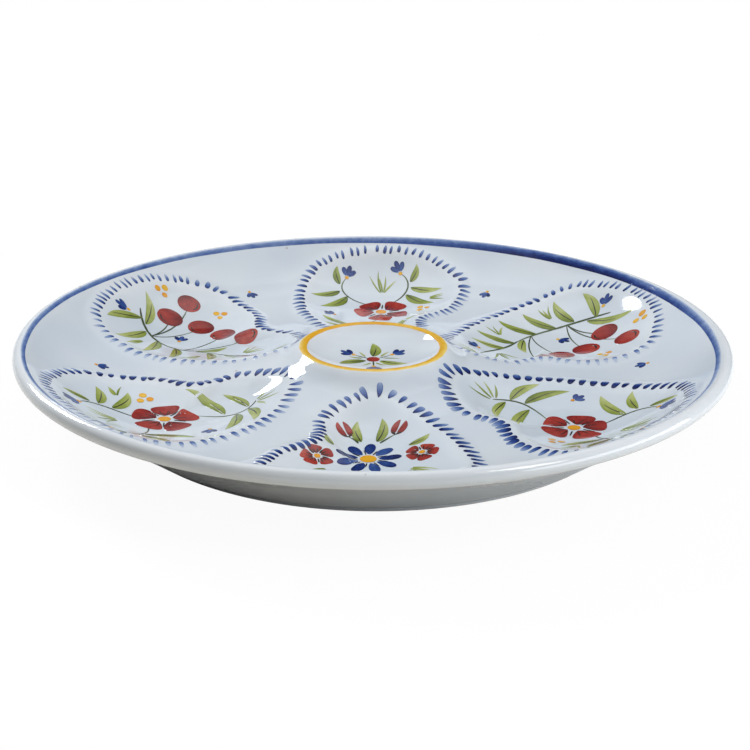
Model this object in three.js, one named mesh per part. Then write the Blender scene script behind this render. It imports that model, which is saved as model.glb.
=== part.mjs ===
// Oyster plate in tin-glazed earthenware: a dished plate with six shell-shaped wells round a raised
// sauce cup, standing on a foot ring. The cup and the ring are made apart and luted to the dish with
// slip before firing. Millimetres, +Z up, origin on the table under the middle of the plate.
import * as THREE from "three";
import { mergeVertices } from "three/addons/utils/BufferGeometryUtils.js";

// The dish: its rolled lip, the face inside it and the back below it
const PLATE_RADIUS = 125;
const PLATE_HEIGHT = 28.3;
const LIP_RADIUS = 2.6;
const RIM_SLOPE = 43;
const BACK_SLOPE = 30;
const TROUGH_RADIUS = 68;
const TROUGH_HEIGHT = 10.9;
const MIDDLE_RISE = 6.8;
const FILLET_REACH = 6.5;
const FILLET_RISE = 1.7;
const BASE_DOME_RADIUS = 46;
const BASE_DOME_FLAT = 20;
const BASE_DOME_RISE = 3.2;

// The wells: how deep they are, how far their walls reach in from the outline, and the clay left
// between a well and the cup or the plate's lip
const WELL_COUNT = 6;
const WELL_DEPTH = 3.2;
const WELL_FLOOR_WIDTH = 62;
const WELL_SIDE_WALL = 22;
const WELL_TIP_WALL = 12;
const WELL_WALL_ROUNDING = 2;
const WELL_TIP_GAP = 4.2;
const WELL_END_GAP = 5.6;
const WELL_HEART_OFFSET = 4;

// The soft lip raised along a well's outline. It starts some way out from the cup and fades at the rim.
const WELL_LIP_RISE = 1.1;
const WELL_LIP_SPREAD = 3.8;
const WELL_LIP_START = 48;
const WELL_LIP_FULL = 68;
const WELL_LIP_FADE = 6;

// A well's outline, a comma seen from above. Each station lies a share of the way along the well, with
// this much ridge between the lip and the line midway to the next well. One side is full, the other
// is drawn in at a waist, which the thumb side of a shell follows.
const FULL_SIDE = [
  { along: 0.9, ridge: 35 },
  { along: 0.68, ridge: 20.4 },
  { along: 0.485, ridge: 13 },
  { along: 0.318, ridge: 9.8 },
  { along: 0.15, ridge: 9.7 },
];
const WAISTED_SIDE = [
  { along: 0.143, ridge: 7.2 },
  { along: 0.332, ridge: 13.2 },
  { along: 0.471, ridge: 8.3 },
  { along: 0.748, ridge: 13.8 },
  { along: 0.957, ridge: 36.7 },
];

// The sauce cup and the socket it is luted into
const SOCKET_RADIUS = 29;
const SOCKET_SEAT = 12;
const CUP_CREST_RADIUS = 25.2;
const CUP_HEIGHT = 21.7;
const CUP_DEPTH = 5.6;
const CUP_LIP_RADIUS = 2.8;
const CUP_WALL_SLOPE = 38;
const CUP_BOWL_SLOPE = 38;
const CUP_BOWL_TURN = 6;

// The foot ring and the bed of slip under both luted pieces
const FOOT_RADIUS = 90;
const FOOT_WIDTH = 5.4;
const FOOT_HEIGHT = 2.8;
const FOOT_FLARE = 3.6;
const FOOT_INNER_FLARE = 1.6;
const FOOT_ROUNDING = 0.8;
const SLIP_BED = 0.3;

// Facets
const RIM_STEPS_PER_WELL = 16;
const SOCKET_STEPS_PER_WELL = 8;
const RIDGE_STEPS = 14;
const OUTLINE_STEPS = 240;
const ROLL_STEPS = 4;
const ROLL_END_STEPS = 2;
const BACK_STEPS = 5;
const DOME_STEPS = 3;
const CURVE_STEPS = 4;
const BOWL_STEPS = 7;
const WELL_RINGS = [0.25, 0.45, 0.6, 0.73, 0.84, 0.93, 1];
const RIDGE_RINGS = [
  { share: 0.25, spreads: 0.8 },
  { share: 0.5, spreads: 1.7 },
  { share: 0.75, spreads: 3.5 },
];

const GLAZE = { color: 0xd3dade, roughness: 0.12, metalness: 0 };
const BARE_CLAY = { color: 0xcdb9a0, roughness: 0.8, metalness: 0 };

const rimSteps = WELL_COUNT * RIM_STEPS_PER_WELL;
const halfSector = Math.PI / WELL_COUNT;
const rimSlope = THREE.MathUtils.degToRad(RIM_SLOPE);
const backSlope = THREE.MathUtils.degToRad(BACK_SLOPE);
const bowlSlope = THREE.MathUtils.degToRad(CUP_BOWL_SLOPE);
const cupWallSlope = THREE.MathUtils.degToRad(CUP_WALL_SLOPE);

// A point of a rounded edge in section, by its angle outwards from straight up
function onRoll(crestRadius, topHeight, rollRadius, angle) {
  return new THREE.Vector2(
    crestRadius + rollRadius * Math.sin(angle),
    topHeight - rollRadius + rollRadius * Math.cos(angle),
  );
}

// The points of a rounded edge between two angles, without the first
function rollArc(onEdge, from, to, steps) {
  return Array.from({ length: steps }, (_, i) =>
    onEdge(THREE.MathUtils.lerp(from, to, (i + 1) / steps)),
  );
}

const lipCrest = PLATE_RADIUS - LIP_RADIUS;
const onLip = (angle) => onRoll(lipCrest, PLATE_HEIGHT, LIP_RADIUS, angle);
const onCupLip = (angle) => onRoll(CUP_CREST_RADIUS, CUP_HEIGHT, CUP_LIP_RADIUS, angle);
const faceEdge = onLip(-rimSlope);
const backEdge = onLip(Math.PI - backSlope);
const baseHeight = FOOT_HEIGHT + SLIP_BED;

// Height of the dish's face between the wells: it dips to a trough, sweeps up to the lip at the rim's
// slope, and rises in the middle to a fillet round the cup
function faceHeight(radius) {
  if (radius > TROUGH_RADIUS) {
    const run = faceEdge.x - TROUGH_RADIUS;
    const rise = faceEdge.y - TROUGH_HEIGHT;
    const power = (Math.tan(rimSlope) * run) / rise;
    return TROUGH_HEIGHT + rise * ((radius - TROUGH_RADIUS) / run) ** power;
  }
  const inward = (TROUGH_RADIUS - radius) / (TROUGH_RADIUS - SOCKET_RADIUS);
  const fillet = Math.max(0, 1 - (radius - SOCKET_RADIUS) / FILLET_REACH);
  return TROUGH_HEIGHT + MIDDLE_RISE * inward ** 2 + FILLET_RISE * fillet ** 2;
}

// Slope of the face where it meets the socket's edge, which the wall of the cup takes over
const socketSlope = Math.atan(
  (2 * FILLET_RISE) / FILLET_REACH + (2 * MIDDLE_RISE) / (TROUGH_RADIUS - SOCKET_RADIUS),
);

// The well's outline, with x outwards from the middle of the plate along the well
const wellTip = SOCKET_RADIUS + WELL_TIP_GAP;
const wellEnd = faceEdge.x - WELL_END_GAP;
const wellHeart = new THREE.Vector2((wellTip + wellEnd) / 2, -WELL_HEART_OFFSET);

function stationPoint({ along, ridge }, side) {
  const outward = THREE.MathUtils.lerp(wellTip, wellEnd, along);
  const sideways = outward * Math.tan(halfSector) - ridge / Math.cos(halfSector);
  return new THREE.Vector3(outward, side * sideways, 0);
}

const outlineFromHeart = new THREE.CatmullRomCurve3(
  [
    new THREE.Vector3(wellEnd, 0, 0),
    ...FULL_SIDE.map((station) => stationPoint(station, 1)),
    new THREE.Vector3(wellTip, 0, 0),
    ...WAISTED_SIDE.map((station) => stationPoint(station, -1)),
  ],
  true,
)
  .getSpacedPoints(OUTLINE_STEPS)
  .map((point) => new THREE.Vector2(point.x, point.y).sub(wellHeart));

// A place on the plate seen from the heart of the well that is turned by this angle: its direction,
// its distance, and how far away the outline is in that direction
function fromHeart(place, turn) {
  const offset = place.clone().rotateAround(new THREE.Vector2(), -turn).sub(wellHeart);
  const distance = offset.length();
  const direction = offset.divideScalar(distance);
  for (let step = 0; step < OUTLINE_STEPS; step += 1) {
    const before = direction.cross(outlineFromHeart[step]);
    const after = direction.cross(outlineFromHeart[step + 1]);
    if (before <= 0 && after > 0 && direction.dot(outlineFromHeart[step]) > 0) {
      const crossing = outlineFromHeart[step].clone();
      crossing.lerp(outlineFromHeart[step + 1], before / (before - after));
      return { direction, distance, reach: direction.dot(crossing) };
    }
  }
  throw new Error("the heart of a well lies outside its outline");
}

// How far a well sinks below the face at a distance from its heart. Its contours are ovals near the
// heart, drawn in where the outline is narrower, and take the outline's shape towards the lip. Its
// wall is shortest at the tip.
function wellDrop(direction, distance, reach) {
  const halfLength = (wellEnd - wellTip) / 2;
  const oval = 1 / Math.hypot(direction.x / halfLength, (2 * direction.y) / WELL_FLOOR_WIDTH);
  const drawnIn = (oval ** -4 + reach ** -4) ** -0.25;
  const contour = THREE.MathUtils.lerp(drawnIn, reach, Math.min(1, distance / reach) ** 2);
  const tipward = Math.max(0, -direction.x) ** 6;
  const wallWidth = THREE.MathUtils.lerp(WELL_SIDE_WALL, WELL_TIP_WALL, tipward);
  const wall = Math.max(0, 1 - (contour - distance) / wallWidth);
  return WELL_DEPTH * Math.max(0, 1 - wall ** 2) ** WELL_WALL_ROUNDING;
}

// Height of the face at a place, with the lips of all the wells but not yet their hollows
function lippedHeight(place) {
  const radius = place.length();
  const start = THREE.MathUtils.smoothstep(radius, WELL_LIP_START, WELL_LIP_FULL);
  const fade = THREE.MathUtils.smoothstep(radius, faceEdge.x - WELL_LIP_FADE, faceEdge.x);
  let lips = 0;
  for (let well = 0; well < WELL_COUNT; well += 1) {
    const { distance, reach } = fromHeart(place, Math.PI / 2 + 2 * halfSector * well);
    lips += Math.exp(-(((distance - reach) / WELL_LIP_SPREAD) ** 2));
  }
  return faceHeight(radius) + WELL_LIP_RISE * lips * start * (1 - fade);
}

// A point of the dish by its place round the plate, counted in steps of the rim
function ringPoint(step, radius, height) {
  const angle = (2 * Math.PI * (step % rimSteps)) / rimSteps;
  return new THREE.Vector3(radius * Math.cos(angle), radius * Math.sin(angle), height);
}

function ring(steps, radius, height) {
  return Array.from({ length: steps }, (_, i) => ringPoint((i * rimSteps) / steps, radius, height));
}

// The edge of one well's share of the face, anticlockwise: along the lip, in along one ridge, round
// the socket and out along the other ridge
function sectorEdge(middleStep) {
  const first = middleStep - RIM_STEPS_PER_WELL / 2 + rimSteps;
  const last = first + RIM_STEPS_PER_WELL;
  const onFace = (step, radius) => {
    const point = ringPoint(step, radius, 0);
    return point.setZ(lippedHeight(new THREE.Vector2(point.x, point.y)));
  };
  const ridgeRadius = (i) => THREE.MathUtils.lerp(faceEdge.x, SOCKET_RADIUS, i / RIDGE_STEPS);
  const points = [];
  for (let i = 0; i < RIM_STEPS_PER_WELL; i += 1) {
    points.push(onFace(first + i, faceEdge.x));
  }
  for (let i = 0; i < RIDGE_STEPS; i += 1) {
    points.push(onFace(last, ridgeRadius(i)));
  }
  for (let i = 0; i < SOCKET_STEPS_PER_WELL; i += 1) {
    points.push(onFace(last - (i * RIM_STEPS_PER_WELL) / SOCKET_STEPS_PER_WELL, SOCKET_RADIUS));
  }
  for (let i = RIDGE_STEPS; i > 0; i -= 1) {
    points.push(onFace(first, ridgeRadius(i)));
  }
  return points;
}

// The rings of points from the heart of a well over its lip to the edge of its share of the face
function wellRings(middleStep) {
  const turn = (2 * Math.PI * middleStep) / rimSteps;
  const edge = sectorEdge(middleStep);
  const rays = edge.map((point) => fromHeart(new THREE.Vector2(point.x, point.y), turn));
  const along = ({ direction, reach }, distance) => {
    const place = wellHeart.clone().addScaledVector(direction, distance);
    place.rotateAround(new THREE.Vector2(), turn);
    const height = lippedHeight(place) - wellDrop(direction, distance, reach);
    return new THREE.Vector3(place.x, place.y, height);
  };
  const ontoRidge = (ray, { share, spreads }) =>
    ray.reach + Math.min((ray.distance - ray.reach) * share, WELL_LIP_SPREAD * spreads);
  const heart = wellHeart.clone().rotateAround(new THREE.Vector2(), turn);
  return [
    [new THREE.Vector3(heart.x, heart.y, faceHeight(heart.length()) - WELL_DEPTH)],
    ...WELL_RINGS.map((share) => rays.map((ray) => along(ray, ray.reach * share))),
    ...RIDGE_RINGS.map((place) => rays.map((ray) => along(ray, ontoRidge(ray, place)))),
    edge,
  ];
}

// Joins rings of points, from the middle outwards, into a surface that faces up; a ring of one point
// closes it
function stitch(rings) {
  const corners = [];
  for (let r = 0; r + 1 < rings.length; r += 1) {
    const [inner, outer] = [rings[r], rings[r + 1]];
    const count = Math.max(inner.length, outer.length);
    for (let i = 0; i < count; i += 1) {
      const next = (i + 1) % count;
      if (outer.length > 1) {
        corners.push(inner[i % inner.length], outer[i], outer[next]);
      }
      if (inner.length > 1) {
        corners.push(inner[i], outer[next % outer.length], inner[next]);
      }
    }
  }
  return corners;
}

function dishGeometry() {
  const corners = [];
  for (let well = 0; well < WELL_COUNT; well += 1) {
    corners.push(...stitch(wellRings(rimSteps / 4 + well * RIM_STEPS_PER_WELL)));
  }

  const socketSteps = WELL_COUNT * SOCKET_STEPS_PER_WELL;
  corners.push(
    ...stitch([
      [new THREE.Vector3(0, 0, SOCKET_SEAT)],
      ring(socketSteps, SOCKET_RADIUS, SOCKET_SEAT),
      ring(socketSteps, SOCKET_RADIUS, faceHeight(SOCKET_RADIUS)),
    ]),
  );

  const foot = new THREE.Vector2(FOOT_RADIUS + FOOT_FLARE, baseHeight);
  const alongBack = new THREE.Vector2(-Math.cos(backSlope), -Math.sin(backSlope));
  const halfway = backEdge.clone().addScaledVector(alongBack, backEdge.distanceTo(foot) / 2);
  const back = new THREE.QuadraticBezierCurve(backEdge, halfway, foot).getPoints(BACK_STEPS);
  const dome = new THREE.CubicBezierCurve(
    new THREE.Vector2(BASE_DOME_RADIUS, baseHeight),
    new THREE.Vector2((BASE_DOME_RADIUS + BASE_DOME_FLAT) / 2, baseHeight),
    new THREE.Vector2((BASE_DOME_RADIUS + BASE_DOME_FLAT) / 2, baseHeight + BASE_DOME_RISE),
    new THREE.Vector2(BASE_DOME_FLAT, baseHeight + BASE_DOME_RISE),
  ).getPoints(DOME_STEPS);
  const section = [
    new THREE.Vector2(faceEdge.x, faceHeight(faceEdge.x)),
    ...rollArc(onLip, -rimSlope, 0, ROLL_END_STEPS),
    ...rollArc(onLip, 0, Math.PI / 2, ROLL_STEPS),
    ...rollArc(onLip, Math.PI / 2, Math.PI - backSlope, ROLL_END_STEPS),
    ...back.slice(1),
    ...dome,
  ];
  corners.push(
    ...stitch([
      ...section.map((point) => ring(rimSteps, point.x, point.y)),
      [new THREE.Vector3(0, 0, baseHeight + BASE_DOME_RISE)],
    ]),
  );
  return mergeVertices(new THREE.BufferGeometry().setFromPoints(corners));
}

// Turns a section drawn as radius and height about the plate's axis
function turned(section, steps) {
  const geometry = new THREE.LatheGeometry(section, steps);
  geometry.rotateX(Math.PI / 2);
  return geometry;
}

function cupGeometry() {
  const plugRadius = SOCKET_RADIUS - SLIP_BED;
  const seat = SOCKET_SEAT + SLIP_BED;
  const shoulder = new THREE.Vector2(plugRadius, faceHeight(SOCKET_RADIUS));
  const wallTop = onCupLip(cupWallSlope);
  const wallTurn = shoulder.distanceTo(wallTop) / 3;
  const upSocket = new THREE.Vector2(-Math.cos(socketSlope), Math.sin(socketSlope));
  const downWall = new THREE.Vector2(Math.cos(cupWallSlope), -Math.sin(cupWallSlope));
  const wall = new THREE.CubicBezierCurve(
    shoulder,
    shoulder.clone().addScaledVector(upSocket, wallTurn),
    wallTop.clone().addScaledVector(downWall, wallTurn),
    wallTop,
  ).getPoints(CURVE_STEPS);
  const bowlEdge = onCupLip(-bowlSlope);
  const floor = CUP_HEIGHT - CUP_DEPTH;
  const bowl = new THREE.QuadraticBezierCurve(
    bowlEdge,
    new THREE.Vector2(bowlEdge.x - CUP_BOWL_TURN, floor),
    new THREE.Vector2(0, floor),
  ).getPoints(BOWL_STEPS);
  const section = [
    new THREE.Vector2(0, seat),
    new THREE.Vector2(plugRadius, seat),
    ...wall,
    ...rollArc(onCupLip, cupWallSlope, 0, ROLL_STEPS),
    ...rollArc(onCupLip, 0, -bowlSlope, ROLL_STEPS),
    ...bowl.slice(1),
  ];
  return turned(section, WELL_COUNT * SOCKET_STEPS_PER_WELL);
}

function footGeometry() {
  const inner = FOOT_RADIUS - FOOT_WIDTH;
  const section = new THREE.Path();
  section.moveTo(inner - FOOT_INNER_FLARE, FOOT_HEIGHT);
  section.lineTo(inner, FOOT_ROUNDING);
  section.quadraticCurveTo(inner, 0, inner + FOOT_ROUNDING, 0);
  section.lineTo(FOOT_RADIUS - FOOT_ROUNDING, 0);
  section.quadraticCurveTo(FOOT_RADIUS, 0, FOOT_RADIUS + FOOT_ROUNDING, FOOT_ROUNDING);
  section.lineTo(FOOT_RADIUS + FOOT_FLARE, FOOT_HEIGHT);
  section.closePath();
  return turned(section.getPoints(CURVE_STEPS), rimSteps);
}

function piece(name, geometry, finish) {
  const mesh = new THREE.Mesh(geometry, new THREE.MeshStandardMaterial(finish));
  mesh.name = name;
  return mesh;
}

const plate = new THREE.Group();
plate.add(piece("dish", dishGeometry(), GLAZE));
plate.add(piece("sauce_cup", cupGeometry(), GLAZE));
plate.add(piece("foot_ring", footGeometry(), BARE_CLAY));

export default plate;
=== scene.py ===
import math
import random

import bpy
import numpy as np
from mathutils import Matrix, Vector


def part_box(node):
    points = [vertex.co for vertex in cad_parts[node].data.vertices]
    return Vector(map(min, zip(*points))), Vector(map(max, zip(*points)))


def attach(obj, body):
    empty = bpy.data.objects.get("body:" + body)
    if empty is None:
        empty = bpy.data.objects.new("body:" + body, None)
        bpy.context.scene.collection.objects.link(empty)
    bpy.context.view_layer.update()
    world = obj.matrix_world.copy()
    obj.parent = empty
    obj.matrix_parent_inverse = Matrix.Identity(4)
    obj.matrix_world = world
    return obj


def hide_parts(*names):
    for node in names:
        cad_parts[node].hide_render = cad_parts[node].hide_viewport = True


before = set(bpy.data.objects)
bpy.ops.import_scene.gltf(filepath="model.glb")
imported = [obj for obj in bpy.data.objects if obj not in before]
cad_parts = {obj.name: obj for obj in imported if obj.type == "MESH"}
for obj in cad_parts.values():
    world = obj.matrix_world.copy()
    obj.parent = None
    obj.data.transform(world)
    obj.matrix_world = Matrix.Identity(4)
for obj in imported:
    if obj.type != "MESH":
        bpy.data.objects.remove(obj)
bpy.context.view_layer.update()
bpy.context.scene.view_settings.view_transform = "Standard"
MM = 0.001


# Camera
# A long lens half a metre off and a little above the table, looking down on the middle of the plate.
# It stands in front of one well, turned from it by little more than a degree.
CAMERA_DISTANCE = 500.0
CAMERA_AIM_HEIGHT = 27.3
CAMERA_ELEVATION = math.radians(19.03)
CAMERA_PITCH = math.radians(20.87)
CAMERA_YAW = math.radians(0.084)
CAMERA_ROLL = math.radians(0.364)
CAMERA_TURN = math.radians(-1.37)
CAMERA_LENS = 67.45

bpy.ops.object.select_all(action="DESELECT")
bpy.ops.object.camera_add()
camera = bpy.context.object
camera.data.sensor_width = 36.0
camera.data.lens = CAMERA_LENS
camera_place = Matrix.Translation((
    0.0,
    -CAMERA_DISTANCE * math.cos(CAMERA_ELEVATION) * MM,
    (CAMERA_DISTANCE * math.sin(CAMERA_ELEVATION) + CAMERA_AIM_HEIGHT) * MM,
))
camera.matrix_world = (
    Matrix.Rotation(CAMERA_TURN, 4, "Z")
    @ camera_place
    @ Matrix.Rotation(-CAMERA_YAW, 4, "Z")
    @ Matrix.Rotation(math.radians(90) - CAMERA_PITCH, 4, "X")
    @ Matrix.Rotation(CAMERA_ROLL, 4, "Z")
)
bpy.context.scene.camera = camera


# Dish and sauce cup
# Two pieces of pressed earthenware, luted together with slip and then dipped in white tin glaze as one,
# so that a single glossy skin runs from the bottom of the cup over the face and the lip to the base.
PLATE_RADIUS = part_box("dish")[1].x / MM
PLATE_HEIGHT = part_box("dish")[1].z / MM
BASE_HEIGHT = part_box("dish")[0].z / MM
CUP_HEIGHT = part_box("sauce_cup")[1].z / MM
LIP_RADIUS = 2.6
RIM_SLOPE = 43.0
BACK_SLOPE = 30.0
TROUGH_RADIUS = 68.0
TROUGH_HEIGHT = 10.9
SOCKET_RADIUS = 29.0
MIDDLE_RISE = 6.8
FILLET_REACH = 6.5
FILLET_RISE = 1.7
FOOT_JOIN_RADIUS = 93.6
DOME_RADIUS = 46.0
DOME_FLAT = 20.0
DOME_RISE = 3.2
CUP_CREST_RADIUS = 25.2
CUP_LIP_RADIUS = 2.8
CUP_DEPTH = 5.6
CUP_BOWL_SLOPE = 38.0
CUP_WALL_SLOPE = 38.0
CUP_BOWL_TURN = 6.0
CUP_BOWL_STEPS = 26
CUP_LIP_STEPS = 18
CUP_WALL_STEPS = 8
FACE_STEPS = 104
LIP_STEPS = 34
BACK_STEPS = 30
BASE_STEPS = 6
DOME_STEPS = 12
SPIN_STEPS = 384
MERGE_DISTANCE = 0.000004


def bezier(points, places):
    """Points of a Bezier curve, at a count of even places or at the given shares of its run."""
    places = np.linspace(0, 1, places) if isinstance(places, int) else places
    places = np.asarray(places, float)[:, None]
    row = [np.asarray(point, float) for point in points]
    while len(row) > 1:
        row = [first + (second - first) * places for first, second in zip(row, row[1:])]
    return row[0]


def rolled_lip(crest, height, roll, first, last, steps):
    """Section of a rolled lip, from one angle to another, counted outwards from straight up."""
    angles = np.radians(np.linspace(first, last, steps))
    return np.column_stack((crest + roll * np.sin(angles), height - roll + roll * np.cos(angles)))


def swept_wall(start, start_slope, end, end_slope, steps):
    """Section of a wall that leaves one point and reaches another at the given slopes, in degrees down."""
    reach = math.dist(start, end) / 3
    leave = math.radians(start_slope)
    arrive = math.radians(end_slope)
    first_turn = (start[0] + reach * math.cos(leave), start[1] - reach * math.sin(leave))
    second_turn = (end[0] - reach * math.cos(arrive), end[1] + reach * math.sin(arrive))
    return bezier([start, first_turn, second_turn, end], steps)


lip_crest = PLATE_RADIUS - LIP_RADIUS
lip = rolled_lip(lip_crest, PLATE_HEIGHT, LIP_RADIUS, -RIM_SLOPE, 180 - BACK_SLOPE, LIP_STEPS)
cup_lip = rolled_lip(
    CUP_CREST_RADIUS, CUP_HEIGHT, CUP_LIP_RADIUS, -CUP_BOWL_SLOPE, CUP_WALL_SLOPE, CUP_LIP_STEPS
)
rim_run = lip[0, 0] - TROUGH_RADIUS
rim_rise = lip[0, 1] - TROUGH_HEIGHT
rim_power = math.tan(math.radians(RIM_SLOPE)) * rim_run / rim_rise


def plain_face(radius):
    """Height of the face without the wells: a trough, the rise to the rim and the cup's fillet."""
    outer = TROUGH_HEIGHT + rim_rise * (np.maximum(radius - TROUGH_RADIUS, 0) / rim_run) ** rim_power
    middle = MIDDLE_RISE * (np.maximum(TROUGH_RADIUS - radius, 0) / (TROUGH_RADIUS - SOCKET_RADIUS)) ** 2
    fillet = FILLET_RISE * np.maximum(0, 1 - (radius - SOCKET_RADIUS) / FILLET_REACH) ** 2
    return outer + middle + fillet


def draw_section(name, points):
    """One vertex, extruded from point to point of a section that is given as radius and height in mm."""
    bpy.ops.object.select_all(action="DESELECT")
    bpy.ops.mesh.primitive_plane_add(size=MM)
    piece = bpy.context.object
    piece.name = name
    bpy.ops.object.mode_set(mode="EDIT")
    bpy.ops.mesh.merge(type="CENTER")
    bpy.ops.transform.translate(value=(points[0][0] * MM, 0, points[0][1] * MM))
    for run, rise in np.diff(points, axis=0):
        step = {"value": (float(run) * MM, 0, float(rise) * MM)}
        bpy.ops.mesh.extrude_region_move(TRANSFORM_OT_translate=step)
    return piece


def spin_section(steps):
    """Turns the section that is being edited into a closed round body."""
    bpy.ops.mesh.select_all(action="SELECT")
    bpy.ops.mesh.spin(steps=steps, angle=math.tau, center=(0, 0, 0), axis=(0, 0, 1))
    bpy.ops.mesh.select_all(action="SELECT")
    bpy.ops.mesh.remove_doubles(threshold=MERGE_DISTANCE)
    bpy.ops.mesh.normals_make_consistent(inside=False)
    bpy.ops.object.mode_set(mode="OBJECT")
    bpy.ops.object.shade_smooth()


cup_floor = CUP_HEIGHT - CUP_DEPTH
bowl_turn = (cup_lip[0, 0] - CUP_BOWL_TURN, cup_floor)
cup_bowl = bezier([(0, cup_floor), bowl_turn, cup_lip[0]], CUP_BOWL_STEPS)
socket_edge = (SOCKET_RADIUS, plain_face(SOCKET_RADIUS))
socket_slope = 2 * FILLET_RISE / FILLET_REACH + 2 * MIDDLE_RISE / (TROUGH_RADIUS - SOCKET_RADIUS)
socket_slope = math.degrees(math.atan(socket_slope))
cup_wall = swept_wall(cup_lip[-1], CUP_WALL_SLOPE, socket_edge, socket_slope, CUP_WALL_STEPS)
face_radii = np.linspace(SOCKET_RADIUS, lip[0, 0], FACE_STEPS)
face = np.column_stack((face_radii, plain_face(face_radii)))
base_edge = (FOOT_JOIN_RADIUS, BASE_HEIGHT)
back_reach = math.dist(lip[-1], base_edge) / 2
back_turn = lip[-1] - back_reach * np.array([
    math.cos(math.radians(BACK_SLOPE)),
    math.sin(math.radians(BACK_SLOPE)),
])
back = bezier([lip[-1], back_turn, base_edge], BACK_STEPS)
base = bezier([base_edge, (DOME_RADIUS, BASE_HEIGHT)], BASE_STEPS)
dome_sides = [
    (DOME_RADIUS, BASE_HEIGHT),
    ((DOME_RADIUS + DOME_FLAT) / 2, BASE_HEIGHT),
    ((DOME_RADIUS + DOME_FLAT) / 2, BASE_HEIGHT + DOME_RISE),
    (DOME_FLAT, BASE_HEIGHT + DOME_RISE),
]
dome = bezier(dome_sides, DOME_STEPS)
dome_top = [(DOME_FLAT / 2, BASE_HEIGHT + DOME_RISE), (0, BASE_HEIGHT + DOME_RISE)]
upper_side = np.vstack((cup_bowl, cup_lip[1:], cup_wall[1:], face[1:], lip[1:]))
glazed_section = np.vstack((upper_side, back[1:], base[1:], dome[1:], dome_top))
glazed_body = draw_section("glazed_dish_and_cup", glazed_section)
spin_section(SPIN_STEPS)

# The wells are pressed into the spun face. Each is a comma: full on one side and waisted on the other,
# pointed at the cup and broad at the rim. A station of its outline gives the share of the way out,
# and how far the outline keeps there from the middle of the ridge beside it.
WELL_COUNT = 6
WELL_TURN = 90.0
WELL_DEPTH = 3.2
WELL_FLOOR_WIDTH = 62.0
WELL_SIDE_WALL = 22.0
WELL_TIP_WALL = 12.0
WELL_TIP_FOCUS = 6
WELL_DRAW_IN = 4
WELL_WALL_ROUNDING = 2.0
WELL_LIP_RISE = 1.1
WELL_LIP_SPREAD = 3.8
WELL_LIP_START = (48.0, 68.0)
WELL_LIP_SINK = 6.0
WELL_LIP_STOP = (lip[0, 0] - WELL_LIP_SINK, lip[0, 0])
WELL_TIP_SPACE = 4.2
WELL_END_SPACE = 5.6
WELL_TIP = SOCKET_RADIUS + WELL_TIP_SPACE
WELL_END = lip[0, 0] - WELL_END_SPACE
HEART_SHIFT = -4.0
WELL_HEART = np.array([(WELL_TIP + WELL_END) / 2, HEART_SHIFT])
FULL_SIDE = [(0.9, 35.0), (0.68, 20.4), (0.485, 13.0), (0.318, 9.8), (0.15, 9.7)]
WAISTED_SIDE = [(0.143, 7.2), (0.332, 13.2), (0.471, 8.3), (0.748, 13.8), (0.957, 36.7)]
KNOT_STEPS = 80
OUTLINE_POINTS = 360
FACE_TOLERANCE = 0.01


def station(along, ridge, side):
    """A point of a well's outline, in the well's own frame with X pointing out from the plate's middle."""
    out = WELL_TIP + (WELL_END - WELL_TIP) * along
    sixth = math.pi / WELL_COUNT
    return out, side * (out * math.tan(sixth) - ridge / math.cos(sixth))


def closed_curve(knots, count):
    """Evenly spaced points on a smooth closed curve through the knots."""
    here = np.array(knots)
    before, after, beyond = (np.roll(here, shift, axis=0) for shift in (1, -1, -2))
    lead = np.linalg.norm(here - before, axis=1, keepdims=True) ** 0.5
    span = np.linalg.norm(after - here, axis=1, keepdims=True) ** 0.5
    trail = np.linalg.norm(beyond - after, axis=1, keepdims=True) ** 0.5
    leave = span * ((here - before) / lead - (after - before) / (lead + span) + (after - here) / span)
    arrive = span * ((after - here) / span - (beyond - here) / (span + trail) + (beyond - after) / trail)
    place = np.linspace(0, 1, KNOT_STEPS, endpoint=False)[:, None]
    pieces = [
        start + lean * place + (3 * (end - start) - 2 * lean - land) * place**2
        + (2 * (start - end) + lean + land) * place**3
        for start, end, lean, land in zip(here, after, leave, arrive)
    ]
    fine = np.vstack(pieces + [here[:1]])
    run = np.concatenate(([0], np.cumsum(np.linalg.norm(np.diff(fine, axis=0), axis=1))))
    spaced = np.linspace(0, run[-1], count, endpoint=False)
    return np.column_stack([np.interp(spaced, run, fine[:, axis]) for axis in (0, 1)])


well_outline = closed_curve(
    [(WELL_END, 0.0)] + [station(*place, 1) for place in FULL_SIDE]
    + [(WELL_TIP, 0.0)] + [station(*place, -1) for place in WAISTED_SIDE],
    OUTLINE_POINTS,
)
outline_angles = np.arctan2(*(well_outline - WELL_HEART).T[::-1])
outline_reach = np.linalg.norm(well_outline - WELL_HEART, axis=1)


def well_angle(number):
    """Direction in which a well points, in radians."""
    return math.radians(WELL_TURN + 360 / WELL_COUNT * number)


def from_heart(x, y, neighbour):
    """Offset from a well's heart, and the outline's reach that way. Neighbour 0 is the nearest well."""
    sixth = math.tau / WELL_COUNT
    bearing = np.arctan2(y, x) - math.radians(WELL_TURN)
    bearing = bearing - sixth * (np.round(bearing / sixth) + neighbour)
    radius = np.hypot(x, y)
    away_x = radius * np.cos(bearing) - WELL_HEART[0]
    away_y = radius * np.sin(bearing) - WELL_HEART[1]
    reach = np.interp(np.arctan2(away_y, away_x), outline_angles, outline_reach, period=math.tau)
    return away_x, away_y, reach


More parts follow.
